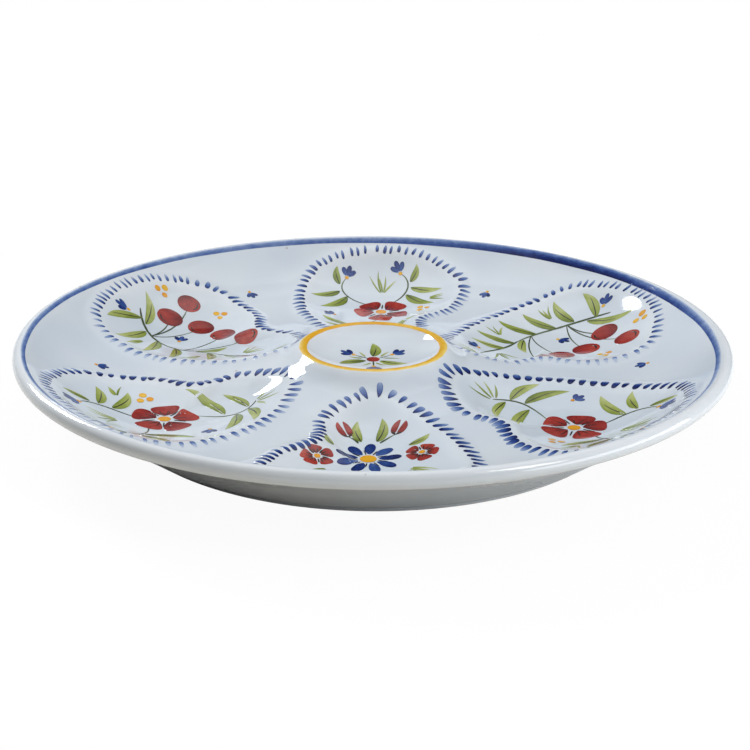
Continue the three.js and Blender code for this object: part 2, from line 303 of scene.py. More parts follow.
def well_drop(x, y):
    """Depth of the nearest well below the plain face."""
    away_x, away_y, reach = from_heart(x, y, 0)
    away = np.maximum(np.hypot(away_x, away_y), 1e-6)
    half_length = (WELL_END - WELL_TIP) / 2
    oval = away / np.hypot(away_x / half_length, 2 * away_y / WELL_FLOOR_WIDTH)
    drawn_in = (oval**-WELL_DRAW_IN + reach**-WELL_DRAW_IN) ** (-1 / WELL_DRAW_IN)
    contour = drawn_in + (reach - drawn_in) * np.minimum(1, away / reach) ** 2
    tipwards = np.maximum(0, -away_x / away) ** WELL_TIP_FOCUS
    wall_width = WELL_SIDE_WALL + (WELL_TIP_WALL - WELL_SIDE_WALL) * tipwards
    wall = np.maximum(0, 1 - (contour - away) / wall_width)
    drop = WELL_DEPTH * np.maximum(0, 1 - wall**2) ** WELL_WALL_ROUNDING
    return np.where(away < reach, drop, 0)


def smooth(value, low, high):
    """A share that eases from 0 to 1 between two values."""
    share = np.clip((value - low) / (high - low), 0, 1)
    return share * share * (3 - 2 * share)


def well_lip(x, y):
    """Height of the soft lips that stand round the wells. They sink away at the cup and at the rim."""
    rise = 0
    for neighbour in (-1, 0, 1):
        away_x, away_y, reach = from_heart(x, y, neighbour)
        rise = rise + np.exp(-((np.hypot(away_x, away_y) - reach) / WELL_LIP_SPREAD) ** 2)
    radius = np.hypot(x, y)
    return WELL_LIP_RISE * rise * smooth(radius, *WELL_LIP_START) * (1 - smooth(radius, *WELL_LIP_STOP))


places = np.empty(len(glazed_body.data.vertices) * 3)
glazed_body.data.vertices.foreach_get("co", places)
places = places.reshape(-1, 3) / MM
radii = np.hypot(places[:, 0], places[:, 1])
face_heights = plain_face(radii) - FACE_TOLERANCE
on_face = (radii > SOCKET_RADIUS) & (radii < lip[0, 0]) & (places[:, 2] > face_heights)
drops = np.where(on_face, well_drop(places[:, 0], places[:, 1]), 0)
lips = np.where(on_face, well_lip(places[:, 0], places[:, 1]), 0)
places[:, 2] += lips - drops
glazed_body.data.vertices.foreach_set("co", (places * MM).ravel())
glazed_body.data.update()

# The glaze pools in the hollows, where it looks deeper and bluer, and every crest gets a paler painted
# highlight.
WELL_EDGE_HIGHLIGHT_BAND = 0.035
WELL_EDGE_HIGHLIGHT_SHARE = 0.6
well_share = drops / WELL_DEPTH
crest = np.exp(-((radii - lip_crest) / LIP_RADIUS) ** 2) * (places[:, 2] > TROUGH_HEIGHT)
crest += np.exp(-((radii - CUP_CREST_RADIUS) / CUP_LIP_RADIUS) ** 2) * (places[:, 2] > cup_floor)
crest += np.where(well_share > 0, np.exp(-well_share / WELL_EDGE_HIGHLIGHT_BAND), 0) * WELL_EDGE_HIGHLIGHT_SHARE
for attribute_name, shares in (("glaze_pool", well_share), ("glaze_crest_highlight", np.minimum(crest, 1))):
    attribute = glazed_body.data.attributes.new(attribute_name, "FLOAT", "POINT")
    attribute.data.foreach_set("value", shares.astype(np.float32))


def colour(red, green, blue):
    """A colour as it looks on screen, from 0 to 255, as the linear values that shaders take."""
    shares = [value / 255 for value in (red, green, blue)]
    linear = [v / 12.92 if v <= 0.04045 else ((v + 0.055) / 1.055) ** 2.4 for v in shares]
    return (*linear, 1.0)


def add_node(tree, kind, inputs=None, **settings):
    """Adds a shader node with its settings. An input is a value, or another node's socket to link from."""
    made = tree.nodes.new(kind)
    for name, value in settings.items():
        setattr(made, name, value)
    for name, value in (inputs or {}).items():
        if isinstance(value, bpy.types.NodeSocket):
            tree.links.new(value, made.inputs[name])
        else:
            made.inputs[name].default_value = value
    return made


def calculate(tree, operation, first, second=0.0, clamp=False):
    """Output of a Math node."""
    made = add_node(tree, "ShaderNodeMath", {0: first, 1: second}, operation=operation, use_clamp=clamp)
    return made.outputs[0]


def map_range(tree, value, low, high, first=0.0, last=1.0, interpolation="LINEAR"):
    """Output of a node that turns the range from low to high into the range from first to last."""
    made = add_node(tree, "ShaderNodeMapRange", {
        "Value": value, "From Min": low, "From Max": high, "To Min": first, "To Max": last,
    }, interpolation_type=interpolation)
    return made.outputs[0]


def object_place(tree):
    """Output of a node that gives the object's own coordinates."""
    return add_node(tree, "ShaderNodeTexCoord").outputs["Object"]


def noise(tree, place, scale, detail):
    """Output of a noise texture."""
    made = add_node(tree, "ShaderNodeTexNoise", {"Vector": place, "Scale": scale, "Detail": detail})
    return made.outputs["Fac"]


def blend_colours(tree, share, first, second):
    """Output of a node that mixes two colours."""
    made = add_node(tree, "ShaderNodeMix", {0: share, 6: first, 7: second}, data_type="RGBA")
    return made.outputs[2]


def ramp(tree, value, stops):
    """Output of a colour ramp with the given places and colours."""
    made = add_node(tree, "ShaderNodeValToRGB", {"Fac": value})
    elements = made.color_ramp.elements
    elements[0].position, elements[0].color = stops[0]
    elements[1].position, elements[1].color = stops[-1]
    for place, shade in stops[1:-1]:
        elements.new(place).color = shade
    return made.outputs["Color"]


def new_material(name):
    """An empty material with a Principled BSDF, and its tree."""
    material = bpy.data.materials.new(name)
    material.use_nodes = True
    return material, material.node_tree, material.node_tree.nodes["Principled BSDF"]


# Every plain and painted surface lies under the same gloss,
# with its slow ripple, its fine orange peel and a pinhole here and there.
CLOUD_RANGE = (0.3, 0.7)
GLOSS_ROUGHNESS = (0.045, 0.085)
PEEL_SHARE = 0.05
PINHOLE_SPREAD = 0.055
PINHOLE_CUT = 0.03
PINHOLE_DEPTH = 0.5
RIPPLE_HEIGHT = 0.06 * MM

gloss = bpy.data.node_groups.new("glaze_gloss", "ShaderNodeTree")
for socket_name in ("Mottle", "Pinholes", "Roughness", "Height"):
    gloss.interface.new_socket(socket_name, in_out="OUTPUT", socket_type="NodeSocketFloat")
gloss_place = object_place(gloss)
cloud = noise(gloss, gloss_place, scale=22.0, detail=4.0)
ripple = noise(gloss, gloss_place, scale=70.0, detail=1.0)
peel = noise(gloss, gloss_place, scale=650.0, detail=1.0)
holes = add_node(gloss, "ShaderNodeTexVoronoi", {"Vector": gloss_place, "Scale": 95.0, "Randomness": 1.0})
hole_size = calculate(gloss, "MULTIPLY", holes.outputs["Color"], PINHOLE_SPREAD)
hole_size = calculate(gloss, "SUBTRACT", hole_size, PINHOLE_CUT)
hole = calculate(gloss, "LESS_THAN", holes.outputs["Distance"], hole_size)
peeled = calculate(gloss, "ADD", ripple, calculate(gloss, "MULTIPLY", peel, PEEL_SHARE))
pitted = calculate(gloss, "SUBTRACT", peeled, calculate(gloss, "MULTIPLY", hole, PINHOLE_DEPTH))
add_node(gloss, "NodeGroupOutput", {
    "Mottle": cloud,
    "Pinholes": hole,
    "Roughness": map_range(gloss, cloud, *CLOUD_RANGE, *GLOSS_ROUGHNESS),
    "Height": pitted,
})


def apply_gloss(tree, shader):
    """Puts the shared gloss on a shader and returns the group's node."""
    made = add_node(tree, "ShaderNodeGroup", node_tree=gloss)
    bump = add_node(tree, "ShaderNodeBump", {
        "Height": made.outputs["Height"], "Distance": RIPPLE_HEIGHT, "Strength": 1.0,
    })
    tree.links.new(bump.outputs["Normal"], shader.inputs["Normal"])
    tree.links.new(made.outputs["Roughness"], shader.inputs["Roughness"])
    return made


TIN_WHITE = colour(201, 207, 214)
TIN_WHITE_COOL = colour(190, 200, 211)
TIN_POOLED = colour(186, 198, 208)
# The paler glaze colour of the painted highlight along every crest.
TIN_CREST_HIGHLIGHT = colour(216, 220, 224)
IRON_SPECK = colour(132, 108, 78)
MOTTLE_RANGE = (0.32, 0.68)
POOL_SHARE = 0.35
CREST_HIGHLIGHT_SHARE = 0.6
SPECK_SPREAD = 0.16
SPECK_CUT = 0.075
SPECK_EDGE = 0.02
SPECK_SHARE = 0.7
PINHOLE_STAIN = 0.5

glaze, tree, shader = new_material("white_tin_glaze")
glaze_gloss = apply_gloss(tree, shader)
pool = add_node(tree, "ShaderNodeAttribute", attribute_name="glaze_pool").outputs["Fac"]
# Share of the painted highlight along the lip, the cup's rim and the edges of the wells.
thin = add_node(tree, "ShaderNodeAttribute", attribute_name="glaze_crest_highlight").outputs["Fac"]
mottle = map_range(tree, glaze_gloss.outputs["Mottle"], *MOTTLE_RANGE)
specks = add_node(tree, "ShaderNodeTexVoronoi", {"Vector": object_place(tree), "Scale": 60.0})
speck_size = calculate(tree, "MULTIPLY", specks.outputs["Color"], SPECK_SPREAD)
speck_size = calculate(tree, "SUBTRACT", speck_size, SPECK_CUT)
inside_speck = calculate(tree, "SUBTRACT", speck_size, specks.outputs["Distance"])
speck = map_range(tree, inside_speck, 0.0, SPECK_EDGE, 0.0, SPECK_SHARE)
pinhole = calculate(tree, "MULTIPLY", glaze_gloss.outputs["Pinholes"], PINHOLE_STAIN)
coat = blend_colours(tree, mottle, TIN_WHITE, TIN_WHITE_COOL)
coat = blend_colours(tree, calculate(tree, "MULTIPLY", pool, POOL_SHARE), coat, TIN_POOLED)
coat = blend_colours(tree, calculate(tree, "MULTIPLY", thin, CREST_HIGHLIGHT_SHARE), coat, TIN_CREST_HIGHLIGHT)
coat = blend_colours(tree, speck, coat, IRON_SPECK)
coat = blend_colours(tree, pinhole, coat, IRON_SPECK)
tree.links.new(coat, shader.inputs["Base Color"])
glazed_body.data.materials.append(glaze)
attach(glazed_body, "root")
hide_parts("dish", "sauce_cup")


# Foot ring
# A ring of the same clay, luted under the base. The glaze is wiped off the face it stands on,
# which shows the bare buff clay, worn a little by the table.
SLIP_BED = 0.3
FOOT_TOP = BASE_HEIGHT - SLIP_BED
FOOT_INNER_TOP = 83.0
FOOT_INNER = 84.6
FOOT_OUTER = 90.0
FOOT_ROUND = 0.8
FOOT_FLARE = 3.6
FOOT_INNER_STEPS = 8
FOOT_ROUND_STEPS = 5
FOOT_SOLE_STEPS = 5
FOOT_OUTER_STEPS = 10
FOOT_TOP_STEPS = 4
FOOT_SPIN_STEPS = 256
FOOT_EDGE_ANGLE = math.radians(50)

inner_top = (FOOT_INNER_TOP, BASE_HEIGHT)
inner_side = (FOOT_INNER, FOOT_ROUND)
inner_sole = (FOOT_INNER + FOOT_ROUND, 0)
outer_sole = (FOOT_OUTER - FOOT_ROUND, 0)
outer_side = (FOOT_OUTER, FOOT_ROUND)
outer_top = (FOOT_OUTER + FOOT_FLARE, BASE_HEIGHT)
foot_section = np.vstack((
    bezier([inner_top, (FOOT_INNER, FOOT_TOP / 2), inner_side], FOOT_INNER_STEPS),
    bezier([inner_side, (FOOT_INNER, 0), inner_sole], FOOT_ROUND_STEPS)[1:],
    bezier([inner_sole, outer_sole], FOOT_SOLE_STEPS)[1:],
    bezier([outer_sole, (FOOT_OUTER, 0), outer_side], FOOT_ROUND_STEPS)[1:],
    bezier([outer_side, (FOOT_OUTER, FOOT_TOP), outer_top], FOOT_OUTER_STEPS)[1:],
    bezier([outer_top, inner_top], FOOT_TOP_STEPS)[1:],
))
foot_ring = draw_section("glazed_foot_ring", foot_section)
spin_section(FOOT_SPIN_STEPS)
bpy.ops.object.shade_smooth_by_angle(angle=FOOT_EDGE_ANGLE)

CLAY = colour(205, 185, 160)
CLAY_DARK = colour(176, 148, 118)
CLAY_ROUGHNESS = 0.82
CLAY_GRAIN = 0.08 * MM
WIPE_HEIGHT = 0.3 * MM
WIPE_WAVER = 0.3 * MM
WIPE_EDGE = 0.05 * MM

foot_finish, tree, shader = new_material("wiped_foot")
place = object_place(tree)
height = add_node(tree, "ShaderNodeSeparateXYZ", {0: place}).outputs["Z"]
wipe_noise = noise(tree, place, scale=160.0, detail=3.0)
wipe_line = add_node(tree, "ShaderNodeMath", {
    0: wipe_noise, 1: WIPE_WAVER, 2: WIPE_HEIGHT - WIPE_WAVER / 2,
}, operation="MULTIPLY_ADD").outputs[0]
bare = map_range(tree, calculate(tree, "SUBTRACT", wipe_line, height), -WIPE_EDGE, WIPE_EDGE)
grain = noise(tree, place, scale=900.0, detail=6.0)
grit = noise(tree, place, scale=120.0, detail=8.0)
clay_shade = ramp(tree, grit, [(0.35, CLAY_DARK), (0.6, CLAY)])
foot_gloss = add_node(tree, "ShaderNodeGroup", node_tree=gloss)
glazed_shade = blend_colours(tree, foot_gloss.outputs["Mottle"], TIN_WHITE, TIN_WHITE_COOL)
tree.links.new(blend_colours(tree, bare, glazed_shade, clay_shade), shader.inputs["Base Color"])
foot_roughness = add_node(tree, "ShaderNodeMix", {
    0: bare, 2: foot_gloss.outputs["Roughness"], 3: CLAY_ROUGHNESS,
})
tree.links.new(foot_roughness.outputs[0], shader.inputs["Roughness"])
foot_bump = add_node(tree, "ShaderNodeBump", {
    "Height": calculate(tree, "MULTIPLY", grain, bare), "Distance": CLAY_GRAIN, "Strength": 1.0,
})
tree.links.new(foot_bump.outputs["Normal"], shader.inputs["Normal"])
foot_ring.data.materials.append(foot_finish)
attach(foot_ring, "root")
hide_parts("foot_ring")


# Rim band and cup ring
# Two bands laid on a banding wheel with a loaded brush: cobalt inside the plate's lip, ochre on the cup's.
# The colour sinks into the raw glaze, so it stands no higher than a film. Its edges waver with the hand.
PAINT_START_HEIGHT = 40.0
PAINT_SINK = 0.12
BAND_FILM = 0.03
RIM_BAND_EDGES = (119.6, 121.3)
RIM_BAND_CENTRES = ((-0.8, -0.6), (-0.75, 0.1))
RIM_BAND_WANDER = 0.2
CUP_BAND_EDGES = (23.65, 26.45)
CUP_BAND_CENTRES = ((0.0, 0.0), (0.0, 0.0))
CUP_BAND_WANDER = 0.14
hand = random.Random(7)


def waver(angles, size, waves):
    """A smooth wander round the full circle."""
    total = np.zeros_like(angles)
    for count in waves:
        total += hand.uniform(0.4, 1.0) * np.sin(count * angles + hand.uniform(0, math.tau))
    return total * size / len(waves)


def apply_modifier(piece, name, kind, **settings):
    """Adds a modifier to the active piece and applies it."""
    made = piece.modifiers.new(name, kind)
    for setting, value in settings.items():
        setattr(made, setting, value)
    bpy.ops.object.modifier_apply(modifier=name)


class Paint:
    """Flat brush strokes in plan, gathered for one colour before they are laid on the glaze."""

    def __init__(self):
        self.points = []
        self.faces = []
        self.along = []
        self.across = []
        self.load = []

    def add_point(self, place, along, across, load):
        self.points.append((place[0] * MM, place[1] * MM, PAINT_START_HEIGHT * MM))
        self.along.append(along)
        self.across.append(across)
        self.load.append(load)
        return len(self.points) - 1

    def band(self, edges, centres, wander, steps, across_steps, loads):
        """A ring between two circles, each drawn round a centre that may lie off the plate's middle."""
        angles = np.linspace(0, math.tau, steps, endpoint=False)
        shifts = [centre[0] * np.cos(angles) + centre[1] * np.sin(angles) for centre in centres]
        inner = edges[0] + shifts[0] + waver(angles, wander, (3, 5, 11, 23))
        outer = edges[1] + shifts[1] + waver(angles, wander, (4, 7, 13, 29))
        rows = []
        for number, angle in enumerate(angles):
            row = []
            for share in np.linspace(0, 1, across_steps + 1):
                radius = inner[number] + (outer[number] - inner[number]) * share
                place = (radius * math.cos(angle), radius * math.sin(angle))
                row.append(self.add_point(place, number / steps, 2 * share - 1, loads[number]))
            rows.append(row)
        for row, following in zip(rows, rows[1:] + rows[:1]):
            for near in range(across_steps):
                self.faces.append((row[near], row[near + 1], following[near + 1], following[near]))

    def stroke(self, path, width, swell, load, steps, across_steps=2):
        """A brush mark along a Bezier path, pointed or round at its ends as swell says."""
        shares = (1 - np.cos(np.linspace(0, math.pi, steps + 1))) / 2
        middle = bezier(path, shares)
        heading = np.gradient(middle, axis=0)
        heading /= np.maximum(np.linalg.norm(heading, axis=1, keepdims=True), 1e-9)
        side = np.column_stack((-heading[:, 1], heading[:, 0]))
        peak = swell[0] / (swell[0] + swell[1])
        fullest = peak ** swell[0] * (1 - peak) ** swell[1]
        half = width / 2 * shares ** swell[0] * (1 - shares) ** swell[1] / fullest
        first = self.add_point(middle[0], 0.0, 0.0, load)
        rows = []
        for number in range(1, steps):
            row = []
            for across in np.linspace(-1, 1, across_steps + 1):
                place = middle[number] + side[number] * half[number] * across
                row.append(self.add_point(place, shares[number], across, load))
            rows.append(row)
        last = self.add_point(middle[-1], 1.0, 0.0, load)
        for near in range(across_steps):
            self.faces.append((first, rows[0][near + 1], rows[0][near])[::-1])
            self.faces.append((last, rows[-1][near], rows[-1][near + 1])[::-1])
        for row, following in zip(rows, rows[1:]):
            for near in range(across_steps):
                self.faces.append((row[near], following[near], following[near + 1], row[near + 1]))

    def dot(self, centre, radius, load):
        """A round touch of the brush."""
        path = [(centre[0] - radius, centre[1]), (centre[0] + radius, centre[1])]
        self.stroke(path, 2 * radius, (0.5, 0.5), load, steps=7, across_steps=4)

    def lay(self, name, film, material):
        """Lays the strokes on the glaze as thin closed films with the glaze's own normals."""
        mesh = bpy.data.meshes.new(name)
        mesh.from_pydata(self.points, [], self.faces)
        for attribute_name in ("along", "across", "load"):
            attribute = mesh.attributes.new("brush_" + attribute_name, "FLOAT", "POINT")
            attribute.data.foreach_set("value", np.array(getattr(self, attribute_name), np.float32))
        piece = bpy.data.objects.new(name, mesh)
        bpy.context.collection.objects.link(piece)
        bpy.ops.object.select_all(action="DESELECT")
        piece.select_set(True)
        bpy.context.view_layer.objects.active = piece
        apply_modifier(
            piece, "drape", "SHRINKWRAP", target=glazed_body, wrap_method="PROJECT",
            wrap_mode="ABOVE_SURFACE", offset=film * MM, use_project_z=True,
            use_negative_direction=True, use_positive_direction=False,
        )
        apply_modifier(piece, "film", "SOLIDIFY", thickness=(PAINT_SINK + film) * MM, offset=-1.0)
        bpy.ops.object.mode_set(mode="EDIT")
        bpy.ops.mesh.select_all(action="SELECT")
        bpy.ops.mesh.normals_make_consistent(inside=False)
        bpy.ops.object.mode_set(mode="OBJECT")
        bpy.ops.object.shade_smooth()
        apply_modifier(
            piece, "glaze_normals", "DATA_TRANSFER", object=glazed_body, use_loop_data=True,
            data_types_loops={"CUSTOM_NORMAL"}, loop_mapping="POLYINTERP_NEAREST",
        )
        piece.data.materials.append(material)
        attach(piece, "root")


# The density of a brush mark: how much colour was loaded, where it pooled or ran out,
# which side of the brush held more of it, and the streaks that the hairs left.
FADE_CURVE = 1.5
POOL_CURVE = 3.0
EDGE_CURVE = 3.0
HAIR_SPACING = {"along": 1.6, "across": 2.6, "load": 83.0}

brush = bpy.data.node_groups.new("brush_density", "ShaderNodeTree")
for socket_name in ("Fade", "Pool", "Edge", "Streaks", "Side"):
    brush.interface.new_socket(socket_name, in_out="INPUT", socket_type="NodeSocketFloat")
brush.interface.new_socket("Density", in_out="OUTPUT", socket_type="NodeSocketFloat")
brush_inputs = add_node(brush, "NodeGroupInput").outputs
marks = {
    name: add_node(brush, "ShaderNodeAttribute", attribute_name="brush_" + name).outputs["Fac"]
    for name in ("along", "across", "load")
}
hairs = add_node(brush, "ShaderNodeCombineXYZ", {
    axis: calculate(brush, "MULTIPLY", marks[name], spacing)
    for axis, (name, spacing) in enumerate(HAIR_SPACING.items())
}).outputs[0]
streak = noise(brush, hairs, scale=2.0, detail=3.0)
wash = noise(brush, object_place(brush), scale=260.0, detail=4.0)
grainy = calculate(brush, "SUBTRACT", calculate(brush, "ADD", streak, wash), 1.0)
still_to_go = calculate(brush, "SUBTRACT", 1.0, marks["along"])
off_middle = calculate(brush, "ABSOLUTE", marks["across"])
changes = {
    "Fade": calculate(brush, "POWER", marks["along"], FADE_CURVE),
    "Pool": calculate(brush, "POWER", still_to_go, POOL_CURVE),
    "Edge": calculate(brush, "POWER", off_middle, EDGE_CURVE),
    "Streaks": grainy,
    "Side": calculate(brush, "MULTIPLY", marks["across"], marks["load"]),
}
density = marks["load"]
for socket_name, share in changes.items():
    change = calculate(brush, "MULTIPLY", share, brush_inputs[socket_name])
    density = calculate(brush, "SUBTRACT" if socket_name == "Fade" else "ADD", density, change)
add_node(brush, "NodeGroupOutput", {"Density": calculate(brush, "ADD", density, 0.0, clamp=True)})


def pigment(name, stops, streaks, fade=0.0, pool=0.0, edge=0.0, side=0.0, shine=0.5):
    """A painted colour under the gloss. Each stop is a density and the colour on screen at that density."""
    material, tree, shader = new_material(name)
    shader.inputs["Specular IOR Level"].default_value = shine
    apply_gloss(tree, shader)
    mark = add_node(tree, "ShaderNodeGroup", {
        "Fade": fade, "Pool": pool, "Edge": edge, "Streaks": streaks, "Side": side,
    }, node_tree=brush)
    shades = [(place, colour(*shade)) for place, *shade in stops]
    tree.links.new(ramp(tree, mark.outputs["Density"], shades), shader.inputs["Base Color"])
    return material


COBALT = [
    (0.0, 170, 182, 204),
    (0.3, 108, 130, 172),
    (0.6, 52, 80, 140),
    (0.85, 22, 44, 106),
    (1.0, 12, 26, 78),
]
OCHRE = [
    (0.0, 224, 200, 116),
    (0.45, 210, 164, 44),
    (0.8, 204, 138, 30),
    (1.0, 188, 110, 18),
]
RIM_STEPS = 480
RIM_ACROSS_STEPS = 6
RIM_DARKEST = math.radians(47)
RIM_DARK_FOCUS = 5
RIM_SWELL = 1.4
RIM_LOAD = 0.37
RIM_DARK_LOAD = 0.33
RIM_LOAD_WAVER = 0.14
CUP_STEPS = 180
CUP_ACROSS_STEPS = 10
CUP_LOAD = 0.44
CUP_LOAD_WAVER = 0.2

rim_angles = np.linspace(0, math.tau, RIM_STEPS, endpoint=False)
rim_dark = np.maximum(0, np.cos(rim_angles - RIM_DARKEST)) ** RIM_DARK_FOCUS
rim_edges = (RIM_BAND_EDGES[0], RIM_BAND_EDGES[1] + RIM_SWELL * rim_dark)
rim_load = RIM_LOAD + RIM_DARK_LOAD * rim_dark
rim_load += waver(rim_angles, RIM_LOAD_WAVER, (2, 3, 7, 17, 41))
rim_paint = Paint()
rim_paint.band(rim_edges, RIM_BAND_CENTRES, RIM_BAND_WANDER, RIM_STEPS, RIM_ACROSS_STEPS, rim_load)
band_cobalt = pigment("band_cobalt", COBALT, streaks=0.4, edge=-0.22, side=-0.75, shine=0.2)
rim_paint.lay("rim_band", BAND_FILM, band_cobalt)

cup_angles = np.linspace(0, math.tau, CUP_STEPS, endpoint=False)
cup_load = CUP_LOAD + waver(cup_angles, CUP_LOAD_WAVER, (1, 2, 3, 5, 9))
cup_paint = Paint()
cup_paint.band(CUP_BAND_EDGES, CUP_BAND_CENTRES, CUP_BAND_WANDER, CUP_STEPS, CUP_ACROSS_STEPS, cup_load)
band_ochre = pigment("band_ochre", OCHRE, streaks=0.5, edge=-0.2, side=-0.5)
cup_paint.lay("cup_ring", BAND_FILM, band_ochre)


# Well borders
# A row of short cobalt touches round each well, laid one by one across its lip with a loaded brush:
# full where the hand works at ease, thin and crowded at the outer end, and each runs out towards the ridge.
DASH_LENGTH = 5.2
DASH_WIDTH = 2.0
DASH_GAP = 3.65
DASH_END_GAP = 2.95
DASH_INSET = -1.3
DASH_SLANT = math.radians(-4)
DASH_TIP_REACH = 46.0
DASH_OUTER_END = (92.0, 110.0)
WAIST_REACH = 86.0
WAIST_FADE = 10.0
WAIST_SIDE = 8.0
BORDER_FILM = 0.08

# One value for each well, from the back one round by the left: how far its border strays, how loaded
# the brush was, how round the far touches are, and how close and how wide they come along the waist.
BORDER_DRIFT = [(-0.7, -0.4), (0.3, -0.4), (0.4, 0.0), (0.8, 1.2), (-1.2, -1.0), (0.4, 0.5)]
BORDER_LOAD = [0.66, 0.6, 0.66, 0.74, 0.82, 0.62]
ROUND_TOUCHES = [0.0, 0.0, 1.0, 0.3, 1.0, 0.0]
WAIST_GAP = [0.84, 0.92, 0.95, 0.74, 0.86, 0.95]
WAIST_WIDTH = [0.85, 1.05, 1.0, 0.74, 1.4, 1.0]

# What a round touch, the outer end and the near side of a well each change in a touch.
LENGTH_CHANGE = np.array([0.04, -0.2, -0.2])
WIDTH_CHANGE = np.array([0.2, -0.36, -0.26])
# On a well's near side, the side toward the camera, the lower load pales the touches as a painted
# reflection of the glaze.
LOAD_AND_REFLECTION_CHANGE = np.array([0.1, 0.0, -0.28])

heading = np.roll(well_outline, -1, axis=0) - np.roll(well_outline, 1, axis=0)
heading /= np.linalg.norm(heading, axis=1, keepdims=True)
inward = np.column_stack((-heading[:, 1], heading[:, 0]))
outline_step = np.linalg.norm(well_outline[1] - well_outline[0])


def turned(place, angle):
    """A point or direction in plan, turned about the plate's middle."""
    cosine, sine = math.cos(angle), math.sin(angle)
    return np.array([place[0] * cosine - place[1] * sine, place[0] * sine + place[1] * cosine])


border_paint = Paint()
for number in range(WELL_COUNT):
    angle = well_angle(number)
    run = hand.uniform(0, DASH_GAP)
    while run < outline_step * OUTLINE_POINTS - DASH_END_GAP / 2:
        spot = int(run / outline_step) % OUTLINE_POINTS
        spot_x, spot_y = well_outline[spot]
        outer = np.clip((spot_x - DASH_OUTER_END[0]) / (DASH_OUTER_END[1] - DASH_OUTER_END[0]), 0, 1)
        waist = np.clip(-spot_y / WAIST_SIDE, 0, 1) * np.clip((WAIST_REACH - spot_x) / WAIST_FADE, 0, 1)
        backward = turned(inward[spot], angle)[1]
        rounded = ROUND_TOUCHES[number] * max(0, -backward) * (1 - outer)
        shares = np.array([rounded, outer, max(0, backward)])
        length = DASH_LENGTH * (1 + LENGTH_CHANGE @ shares) * hand.uniform(0.85, 1.12)
        width = DASH_WIDTH * (1 + WIDTH_CHANGE @ shares) * hand.uniform(0.85, 1.2)
        width *= 1 + (WAIST_WIDTH[number] - 1) * waist
        aim = turned(inward[spot], DASH_SLANT + hand.uniform(-0.12, 0.12))
        centre = well_outline[spot] + inward[spot] * (DASH_INSET + hand.uniform(-0.35, 0.35))
        centre = centre + BORDER_DRIFT[number]
        bow = np.array([-aim[1], aim[0]]) * hand.uniform(0.0, 0.5)
        path = [centre + aim * length / 2, centre + bow, centre - aim * length / 2]
        path = [turned(place, angle) for place in path]
        # The load falls on the near side as a painted reflection of the glaze.
        load = BORDER_LOAD[number] + LOAD_AND_REFLECTION_CHANGE @ shares + hand.uniform(-0.12, 0.12)
        at_tip = spot_x < DASH_TIP_REACH
        swell = (0.7, 0.3) if at_tip else (0.3 + 0.1 * rounded, 0.55 - 0.15 * rounded)
        border_paint.stroke(path, width, swell, load, steps=9, across_steps=4)
        gap = DASH_GAP * (1 + (WAIST_GAP[number] - 1) * waist)
        gap = gap + (DASH_END_GAP - gap) * outer
        run += gap * hand.uniform(0.88, 1.14)
dash_cobalt = pigment("dash_cobalt", COBALT, streaks=0.35, fade=0.55, pool=0.3, edge=0.1)
border_paint.lay("well_borders", BORDER_FILM, dash_cobalt)


# Sprigs in the wells and the cup
# Free brush painting in oxide colours, one colour at a time: the greens first and the fine dark lines last.
# A rose on a vine and a branch of cherries take turns round the plate, with a nosegay in the front well.
FRONT_WELL = 3
PETALS = 5
POSY_PETALS = 9

stem_paint = Paint()
blade_paint = Paint()
leaf_paint = Paint()
red_paint = Paint()
blue_paint = Paint()
gold_paint = Paint()
line_paint = Paint()


def toward(angle, reach=1.0):
    """A step in plan in a direction given in radians."""
    return np.array([math.cos(angle), math.sin(angle)]) * reach


